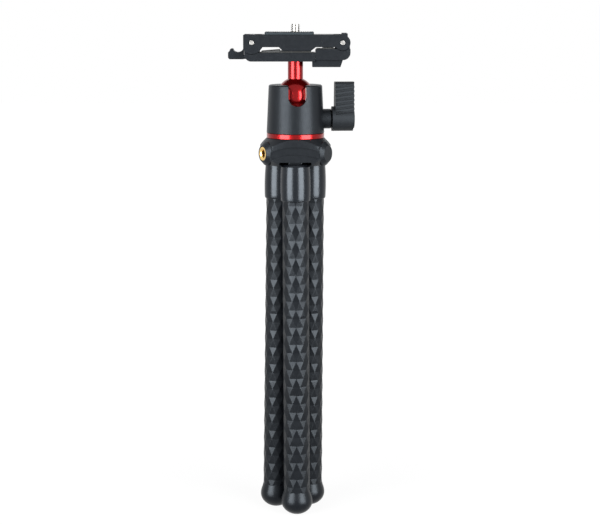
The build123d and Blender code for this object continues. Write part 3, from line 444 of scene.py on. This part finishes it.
def add_piece(name, mesh, slot):
    """Turn a bmesh into a smooth shaded object with the finish of a slot."""
    for face in mesh.faces:
        face.smooth = True
    for edge in mesh.edges:
        edge.smooth = not edge.is_manifold or edge.calc_face_angle() < SMOOTH_ANGLE
    data = bpy.data.meshes.new(name)
    mesh.to_mesh(data)
    mesh.free()
    data.materials.append(finish(slot))
    piece = bpy.data.objects.new(name, data)
    bpy.context.scene.collection.objects.link(piece)
    shading = piece.modifiers.new("even_shading", "WEIGHTED_NORMAL")
    shading.keep_sharp = True
    return piece


def stand_in(piece, node):
    """Let a piece move with a CAD node's body and show in the node's place."""
    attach(piece, body_of[node])
    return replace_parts(piece, node)


def rounded_node(node, slot, width, steps):
    """Show a CAD node as a copy with rounded edges."""
    mesh = merged_copy(node)
    round_edges(mesh, width, steps)
    return stand_in(add_piece(f"{node}_finished", mesh, slot), node)


def cut(mesh, place, normal, keep_below=False):
    """Cut a whole mesh by a plane.

    keep_below also drops what lies on the normal's side and closes the cut.
    """
    geometry = mesh.verts[:] + mesh.edges[:] + mesh.faces[:]
    found = bmesh.ops.bisect_plane(
        mesh, geom=geometry, dist=WELD, plane_co=place, plane_no=normal, clear_outer=keep_below,
    )
    if keep_below:
        edges = [item for item in found["geom_cut"] if isinstance(item, bmesh.types.BMEdge)]
        bmesh.ops.holes_fill(mesh, edges=edges, sides=0)


def lathe(profile, steps, place=Matrix.Identity(4), rise=0.0):
    """Spin a profile of (radius, height) points about the Z axis.

    An end of the profile that lies on the axis closes the shape there. rise is the height of one turn.
    """
    mesh = bmesh.new()
    points = [mesh.verts.new((radius, 0.0, height)) for radius, height in profile]
    for first, second in zip(points, points[1:]):
        mesh.edges.new((first, second))
    bmesh.ops.spin(
        mesh, geom=mesh.verts[:] + mesh.edges[:], cent=(0.0, 0.0, 0.0), axis=(0.0, 0.0, 1.0),
        dvec=(0.0, 0.0, rise / steps), angle=math.tau, steps=steps, use_merge=rise == 0.0,
    )
    bmesh.ops.remove_doubles(mesh, verts=mesh.verts, dist=WELD)
    bmesh.ops.recalc_face_normals(mesh, faces=mesh.faces)
    bmesh.ops.transform(mesh, matrix=place, verts=mesh.verts)
    return mesh


def threaded_rod(low, high, radius, pitch, depth, chamfer, steps):
    """A rod with a real screw thread between two heights, chamfered at its tip."""
    root = radius - depth
    tooth = ((root, 0.0), (root, TOOTH_RISE), (radius, TOOTH_CREST), (radius, TOOTH_FALL))
    turns = math.ceil((high - low) / pitch) + SPARE_TURNS
    profile = [
        (reach, low - pitch + (turn + share) * pitch)
        for turn in range(turns)
        for reach, share in tooth
    ]
    mesh = lathe(profile, steps, rise=pitch)
    cut(mesh, (0, 0, high), (0, 0, 1), keep_below=True)
    cut(mesh, (0, 0, low), (0, 0, -1), keep_below=True)
    for vert in mesh.verts:
        reach = math.hypot(vert.co.x, vert.co.y)
        limit = radius - chamfer + (high - vert.co.z)
        if reach > limit:
            vert.co.xy *= limit / reach
    bmesh.ops.recalc_face_normals(mesh, faces=mesh.faces)
    return mesh


def join(mesh, other):
    """Add a second bmesh's faces to a first one."""
    data = bpy.data.meshes.new("joined")
    other.to_mesh(data)
    other.free()
    mesh.from_mesh(data)
    bpy.data.meshes.remove(data)


def rib_top(mesh, box, pitch, groove, depth):
    """Cut grooves across the flat top of a pad, from front to back."""
    low, high = box
    count = int((high.x - low.x - groove) / pitch)
    start = (low.x + high.x - (count - 1) * pitch) / 2
    wall = depth / RIB_STEEPNESS
    for rib in range(count):
        middle = start + rib * pitch
        for offset in (-groove / 2, wall - groove / 2, groove / 2 - wall, groove / 2):
            cut(mesh, (middle + offset, 0, 0), (1, 0, 0))
    for vert in mesh.verts:
        across = (vert.co.x - start + pitch / 2) % pitch - pitch / 2
        inside = start - pitch / 2 < vert.co.x < start + (count - 0.5) * pitch
        if inside and vert.co.z > high.z - WELD and abs(across) < groove / 2 - wall + WELD:
            vert.co.z -= depth


def leg_frame(leg):
    """A leg's own frame, at its first bend with +Z up the leg and +X outwards.

    With it comes the distance between two bends.
    """
    first = Vector(joints[f"leg_{leg}_bend_1"]["pos_m"])
    last = Vector(joints[f"leg_{leg}_bend_{BEND_COUNT}"]["pos_m"])
    up = (first - last).normalized()
    side = -Vector(joints[f"leg_{leg}_bend_1"]["axis"])
    matrix = Matrix((side.cross(up), side, up)).transposed().to_4x4()
    matrix.translation = first
    return matrix, (first - last).length / (BEND_COUNT - 1)


def facet_tube(values, rows):
    """A tube of sunk diamonds, with spare rows past both of its ends.

    Every ring of corners is turned half a facet against the last, and the middles are pressed in.
    """
    mesh = bmesh.new()
    half = math.pi / values.facet_count
    ring = bmesh.ops.create_circle(
        mesh, segments=values.facet_count, radius=values.sleeve_radius,
    )["verts"]
    first = min(ring, key=lambda vert: abs(math.atan2(vert.co.y, vert.co.x)))
    square = Matrix.Rotation(-SPARE_ROWS * half - math.atan2(first.co.y, first.co.x), 4, "Z")
    bmesh.ops.transform(mesh, matrix=square, verts=ring)
    bmesh.ops.translate(mesh, vec=(0, 0, SPARE_ROWS * values.row_height), verts=ring)
    edges = mesh.edges[:]
    for _ in range(rows):
        made = bmesh.ops.extrude_edge_only(mesh, edges=edges)["geom"]
        ring = [item for item in made if isinstance(item, bmesh.types.BMVert)]
        edges = [
            item for item in made
            if isinstance(item, bmesh.types.BMEdge) and item.verts[0] in ring and item.verts[1] in ring
        ]
        bmesh.ops.translate(mesh, vec=(0, 0, -values.row_height), verts=ring)
        bmesh.ops.rotate(mesh, cent=(0, 0, 0), matrix=Matrix.Rotation(half, 3, "Z"), verts=ring)
    bmesh.ops.triangulate(mesh, faces=mesh.faces[:], quad_method="SHORT_EDGE")
    level = [edge for edge in mesh.edges if abs(edge.verts[0].co.z - edge.verts[1].co.z) < WELD]
    made = bmesh.ops.subdivide_edges(mesh, edges=level, cuts=1)["geom_inner"]
    for item in made:
        if isinstance(item, bmesh.types.BMVert):
            item.co.xy *= 1 - values.facet_sink / item.co.xy.length
    bmesh.ops.recalc_face_normals(mesh, faces=mesh.faces)
    ridges = [edge for edge in mesh.edges if edge.is_manifold]
    bmesh.ops.bevel(
        mesh, geom=ridges, offset=values.facet_edge, offset_type="OFFSET", segments=1, profile=0.5,
        affect="EDGES", clamp_overlap=True, material=-1, loop_slide=True,
    )
    return mesh


def slice_of(mesh, high, low, place):
    """A closed slice of a tube between two heights, put in its place."""
    piece = mesh.copy()
    cut(piece, (0, 0, high), (0, 0, 1), keep_below=True)
    cut(piece, (0, 0, low), (0, 0, -1), keep_below=True)
    bmesh.ops.recalc_face_normals(piece, faces=piece.faces)
    bmesh.ops.transform(piece, matrix=place, verts=piece.verts)
    return piece


def quarter_oval(count, level, radius, depth):
    """Points of a quarter oval below a level, from its side to its lowest point."""
    angles = [step * (math.pi / 2) / count for step in range(count + 1)]
    return [(radius * math.cos(angle), level - depth * math.sin(angle)) for angle in angles]


class TRIPOD_OT_dress_clamp(bpy.types.Operator):
    """Round and finish the folding camera clamp"""

    bl_idname = "tripod.dress_clamp"
    bl_label = "Dress the clamp"

    def execute(self, context):
        values = sizes()
        for node in ("top_bar", "base_bar", "carriage", "flip_jaw", "cold_shoe"):
            rounded_node(node, "black_metal", values.edge_round, values.edge_steps)
        rounded_node("base_pad", "grip_rubber", values.edge_round, values.edge_steps)
        low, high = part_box("base_pad")
        strip = bmesh.new()
        bmesh.ops.create_cube(strip, size=1.0)
        bmesh.ops.scale(
            strip, vec=(values.strip_end - high.x, high.y - low.y, values.strip_height), verts=strip.verts,
        )
        middle = ((high.x + values.strip_end) / 2, 0, low.z + values.strip_height / 2)
        bmesh.ops.translate(strip, vec=middle, verts=strip.verts)
        round_edges(strip, values.edge_round, values.edge_steps)
        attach(add_piece("boss_strip", strip, "grip_rubber"), body_of["base_pad"])
        for node in ("base_pins", "right_hinge_pin", "guide_rods", "base_screw"):
            rounded_node(node, "steel", values.edge_round, values.edge_steps)
        return {"FINISHED"}


class TRIPOD_OT_dress_latch(bpy.types.Operator):
    """Round and finish the thumb latch"""

    bl_idname = "tripod.dress_latch"
    bl_label = "Dress the latch"

    def execute(self, context):
        values = sizes()
        rounded_node("latch_lever", "black_metal", values.edge_round, values.edge_steps)
        return {"FINISHED"}


class TRIPOD_OT_cut_thread(bpy.types.Operator):
    """Give the camera screw a real thread"""

    bl_idname = "tripod.cut_thread"
    bl_label = "Cut the screw thread"

    def execute(self, context):
        values = sizes()
        low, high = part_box("camera_screw")
        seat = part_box("camera_pad")[1].z
        radius = mounts["camera_screw"]["dims"]["r_mm"] * MM
        mesh = merged_copy("camera_screw")
        cut(mesh, (0, 0, seat - values.rib_depth), (0, 0, 1), keep_below=True)
        round_edges(mesh, values.edge_round, values.edge_steps)
        thread = threaded_rod(
            seat - values.thread_pitch, high.z, radius, values.thread_pitch, values.thread_depth,
            values.thread_chamfer, values.thread_steps,
        )
        join(mesh, thread)
        stand_in(add_piece("camera_screw_threaded", mesh, "steel"), "camera_screw")
        return {"FINISHED"}


class TRIPOD_OT_rib_pads(bpy.types.Operator):
    """Mould ribs into the camera pad and the jaw pad"""

    bl_idname = "tripod.rib_pads"
    bl_label = "Rib the pads"

    def execute(self, context):
        values = sizes()
        for node, slot in (("camera_pad", "pad_rubber"), ("jaw_pad", "grip_rubber")):
            mesh = merged_copy(node)
            rib_top(mesh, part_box(node), values.rib_pitch, values.rib_groove, values.rib_depth)
            stand_in(add_piece(f"{node}_ribbed", mesh, slot), node)
        return {"FINISHED"}


class TRIPOD_OT_dress_ball_head(bpy.types.Operator):
    """Round and finish the housing, the knob collar, the ball with its stem and the red ring"""

    bl_idname = "tripod.dress_ball_head"
    bl_label = "Dress the ball head"

    def execute(self, context):
        values = sizes()
        for node in ("head_housing", "knob_collar"):
            rounded_node(node, "black_metal", values.edge_round, values.edge_steps)
        for node in ("ball_stem", "base_ring"):
            rounded_node(node, "red_metal", values.edge_round, values.edge_steps)
        return {"FINISHED"}


class TRIPOD_OT_dress_knob(bpy.types.Operator):
    """Round and finish the lever knob"""

    bl_idname = "tripod.dress_knob"
    bl_label = "Dress the knob"

    def execute(self, context):
        values = sizes()
        rounded_node("lever_knob", "knob_plastic", values.moulded_round, values.edge_steps)
        return {"FINISHED"}


class TRIPOD_OT_dress_hub(bpy.types.Operator):
    """Round and finish the hub and its brass insert"""

    bl_idname = "tripod.dress_hub"
    bl_label = "Dress the hub"

    def execute(self, context):
        values = sizes()
        rounded_node("leg_hub", "black_metal", values.moulded_round, values.edge_steps)
        rounded_node("thread_insert", "brass", values.edge_round, values.edge_steps)
        return {"FINISHED"}


class TRIPOD_OT_dress_cups(bpy.types.Operator):
    """Round and finish the three leg cups"""

    bl_idname = "tripod.dress_cups"
    bl_label = "Dress the cups"

    def execute(self, context):
        values = sizes()
        for leg in range(1, LEG_COUNT + 1):
            rounded_node(f"leg_{leg}_cup", "cup_plastic", values.moulded_round, values.edge_steps)
        return {"FINISHED"}


class TRIPOD_OT_mould_sleeves(bpy.types.Operator):
    """Mould the diamond patterned sleeves, one piece across each bend of each leg"""

    bl_idname = "tripod.mould_sleeves"
    bl_label = "Mould the sleeves"

    def execute(self, context):
        values = sizes()
        spacing = leg_frame(1)[1]
        rows = math.ceil(BEND_COUNT * spacing / values.row_height) + 2 * SPARE_ROWS
        tube = facet_tube(values, rows)
        bottom = -BEND_COUNT * spacing - values.foot_collar
        for leg in range(1, LEG_COUNT + 1):
            place = leg_frame(leg)[0]
            for part in range(BEND_COUNT):
                high = values.sleeve_top if part == 0 else (0.5 - part) * spacing
                low = bottom if part == BEND_COUNT - 1 else -(part + 0.5) * spacing
                piece = add_piece(
                    f"leg_{leg}_facets_{part + 1}", slice_of(tube, high, low, place), "leg_rubber",
                )
                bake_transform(piece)
                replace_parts(piece, f"leg_{leg}_sleeve_{part + 1}")
        tube.free()
        return {"FINISHED"}


class TRIPOD_OT_mould_feet(bpy.types.Operator):
    """Mould the rubber feet with a collar that the leg's facets run into"""

    bl_idname = "tripod.mould_feet"
    bl_label = "Mould the feet"

    def execute(self, context):
        values = sizes()
        floor = min(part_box(f"leg_{leg}_foot")[0].z for leg in range(1, LEG_COUNT + 1))
        inner = values.sleeve_radius * math.cos(math.pi / values.facet_count) - values.facet_sink
        swell = values.foot_radius - values.sleeve_radius
        shoulder = [
            (inner, values.foot_collar),
            (inner + swell / COLLAR_LIP, values.foot_collar - swell / COLLAR_STEP),
            (values.sleeve_radius + swell / COLLAR_STEP, swell / COLLAR_END),
            *(
                (values.sleeve_radius + swell * math.sin(share * math.pi / 2), -share * values.foot_equator)
                for share in SWELL_SHARES
            ),
        ]
        dome = quarter_oval(DOME_STEPS, -values.foot_equator, values.foot_radius, values.foot_dome)
        profile = [(0.0, values.foot_collar), *shoulder, *dome]
        for leg in range(1, LEG_COUNT + 1):
            place, spacing = leg_frame(leg)
            mesh = lathe(profile, FOOT_STEPS, place @ Matrix.Translation((0, 0, -BEND_COUNT * spacing)))
            cut(mesh, (0, 0, floor), (0, 0, -1), keep_below=True)
            bmesh.ops.recalc_face_normals(mesh, faces=mesh.faces)
            stand_in(add_piece(f"leg_{leg}_foot_moulded", mesh, "leg_rubber"), f"leg_{leg}_foot")
        return {"FINISHED"}


class TRIPOD_OT_finish_inner(bpy.types.Operator):
    """Finish the inner pieces that keep their CAD shape"""

    bl_idname = "tripod.finish_inner"
    bl_label = "Finish the inner pieces"

    def execute(self, context):
        paint_nodes(
            ("return_springs", "latch_spring", "lock_screw", "pan_stud", "leg_pins"), "steel",
        )
        paint_nodes(("upper_ball_seat", "lower_ball_seat"), "seat_plastic")
        paint_nodes(("lock_plug",), "brass")
        paint_nodes(("housing_base",), "black_metal")
        cores = [
            f"leg_{leg}_core_{part}"
            for leg in range(1, LEG_COUNT + 1)
            for part in range(1, BEND_COUNT + 1)
        ]
        paint_nodes(cores, "core_metal")
        return {"FINISHED"}


def seen_rays(tree):
    """One where a ray comes from the camera, a reflection or a refraction, and nought elsewhere."""
    path = tree.nodes.new("ShaderNodeLightPath")
    total = path.outputs["Is Camera Ray"]
    for kind in ("Is Glossy Ray", "Is Transmission Ray"):
        most = tree.nodes.new("ShaderNodeMath")
        most.operation = "MAXIMUM"
        tree.links.new(total, most.inputs[0])
        tree.links.new(path.outputs[kind], most.inputs[1])
        total = most.outputs["Value"]
    return total


def add_softbox(name, angle, distance, size, radiance, centre):
    """An upright area lamp at an angle round the object, facing it."""
    width, height = size
    lamp = bpy.data.lights.new(name, "AREA")
    lamp.shape = "RECTANGLE"
    lamp.size, lamp.size_y = width, height
    lamp.energy = radiance * math.pi * width * height
    box = bpy.data.objects.new(name, lamp)
    bpy.context.scene.collection.objects.link(box)
    box.location = centre + Vector((math.sin(angle), -math.cos(angle), 0)) * distance
    box.rotation_euler = (math.pi / 2, 0, angle)
    box.visible_camera = False
    return box


class TRIPOD_OT_build_studio(bpy.types.Operator):
    """Set up the floor, the white background, the softboxes and the camera"""

    bl_idname = "tripod.build_studio"
    bl_label = "Build the studio"

    def execute(self, context):
        scene = context.scene
        values = scene.tripod_studio
        self.add_world(scene, values)
        self.add_floor(values)
        centre = Vector((0, 0, values.softbox_rise))
        size = (values.softbox_width, values.softbox_height)
        for name, side in (("left_softbox", -1), ("right_softbox", 1)):
            add_softbox(name, side * values.softbox_angle, values.softbox_distance, size,
                        values.softbox_light, centre)
        for name, side in (("left_back_softbox", -1), ("right_back_softbox", 1)):
            back = add_softbox(name, side * (math.pi - values.softbox_angle), values.softbox_distance,
                               size, values.back_light, centre)
            back.visible_glossy = False
        self.add_camera(scene, values)
        scene.view_settings.view_transform = "Standard"
        return {"FINISHED"}

    def add_world(self, scene, values):
        world = bpy.data.worlds.new("white_surround")
        world.use_nodes = True
        tree = world.node_tree
        back = tree.nodes["Background"]
        back.inputs["Color"].default_value = (*values.white, 1.0)
        strength = tree.nodes.new("ShaderNodeMapRange")
        strength.inputs["To Min"].default_value = values.surround
        strength.inputs["To Max"].default_value = 1.0
        tree.links.new(seen_rays(tree), strength.inputs["Value"])
        tree.links.new(strength.outputs["Result"], back.inputs["Strength"])
        scene.world = world

    def add_floor(self, values):
        mesh = bmesh.new()
        bmesh.ops.create_grid(mesh, x_segments=2, y_segments=2, size=values.floor_size / 2)
        bmesh.ops.translate(mesh, vec=(0, 0, cad_box[0].z), verts=mesh.verts)
        data = bpy.data.meshes.new("floor")
        mesh.to_mesh(data)
        mesh.free()
        floor = bpy.data.objects.new("floor", data)
        bpy.context.scene.collection.objects.link(floor)
        material, tree, shader = shader_nodes("pale_floor")
        tint(tree, shader, noise(tree, FLOOR_GRAIN), tuple(values.floor), FLOOR_SPREAD)
        shader.inputs["Roughness"].default_value = FLOOR_ROUGHNESS
        shader.inputs["Specular IOR Level"].default_value = FLOOR_SPECULAR
        place = tree.nodes.new("ShaderNodeTexCoord")
        away = tree.nodes.new("ShaderNodeVectorMath")
        away.operation = "LENGTH"
        fade = tree.nodes.new("ShaderNodeMapRange")
        fade.inputs["From Min"].default_value = values.shade_near
        fade.inputs["From Max"].default_value = values.shade_far
        fade.inputs["To Min"].default_value = values.floor_glow
        fade.inputs["To Max"].default_value = 1.0
        glow = tree.nodes.new("ShaderNodeEmission")
        glow.inputs["Color"].default_value = (*values.white, 1.0)
        shade = tree.nodes.new("ShaderNodeBsdfDiffuse")
        shade.inputs["Color"].default_value = (*values.floor_shade, 1.0)
        seen = tree.nodes.new("ShaderNodeAddShader")
        mix = tree.nodes.new("ShaderNodeMixShader")
        tree.links.new(place.outputs["Object"], away.inputs[0])
        tree.links.new(away.outputs["Value"], fade.inputs["Value"])
        tree.links.new(fade.outputs["Result"], glow.inputs["Strength"])
        tree.links.new(glow.outputs["Emission"], seen.inputs[0])
        tree.links.new(shade.outputs["BSDF"], seen.inputs[1])
        tree.links.new(seen_rays(tree), mix.inputs["Fac"])
        tree.links.new(shader.outputs["BSDF"], mix.inputs[1])
        tree.links.new(seen.outputs["Shader"], mix.inputs[2])
        tree.links.new(mix.outputs["Shader"], tree.nodes["Material Output"].inputs["Surface"])
        data.materials.append(material)
        floor.visible_glossy = False

    def add_camera(self, scene, values):
        lens = bpy.data.cameras.new("camera")
        lens.lens = values.lens
        lens.sensor_width = SENSOR_WIDTH
        camera = bpy.data.objects.new("camera", lens)
        scene.collection.objects.link(camera)
        camera.location = (values.camera_side, -values.camera_distance, values.camera_height)
        camera.rotation_euler = (math.pi / 2 - values.camera_tilt, 0, 0)
        scene.camera = camera


class TRIPOD_PT_panel(bpy.types.Panel):
    """Lists the sizes, the colours and the steps of the tripod"""

    bl_idname = "TRIPOD_PT_panel"
    bl_label = "Flexible Leg Tripod"
    bl_space_type = "VIEW_3D"
    bl_region_type = "UI"
    bl_category = "Tripod"

    def draw(self, context):
        layout = self.layout
        for operator in STEPS:
            layout.operator(operator.bl_idname)
        for group in (context.scene.tripod_sizes, context.scene.tripod_colours, context.scene.tripod_studio):
            box = layout.box()
            for name in group.__annotations__:
                box.prop(group, name)


STEPS = (
    TRIPOD_OT_dress_clamp,
    TRIPOD_OT_dress_latch,
    TRIPOD_OT_cut_thread,
    TRIPOD_OT_rib_pads,
    TRIPOD_OT_dress_ball_head,
    TRIPOD_OT_dress_knob,
    TRIPOD_OT_dress_hub,
    TRIPOD_OT_dress_cups,
    TRIPOD_OT_mould_sleeves,
    TRIPOD_OT_mould_feet,
    TRIPOD_OT_finish_inner,
    TRIPOD_OT_build_studio,
)
CLASSES = (TripodSizes, TripodColours, TripodStudio, *STEPS, TRIPOD_PT_panel)


def register():
    for cls in CLASSES:
        bpy.utils.register_class(cls)
    bpy.types.Scene.tripod_sizes = PointerProperty(type=TripodSizes)
    bpy.types.Scene.tripod_colours = PointerProperty(type=TripodColours)
    bpy.types.Scene.tripod_studio = PointerProperty(type=TripodStudio)


def unregister():
    del bpy.types.Scene.tripod_studio
    del bpy.types.Scene.tripod_colours
    del bpy.types.Scene.tripod_sizes
    for cls in reversed(CLASSES):
        bpy.utils.unregister_class(cls)


def main():
    register()
    for operator in STEPS:
        group, name = operator.bl_idname.split(".")
        getattr(getattr(bpy.ops, group), name)()


if __name__ == "__main__":
    main()
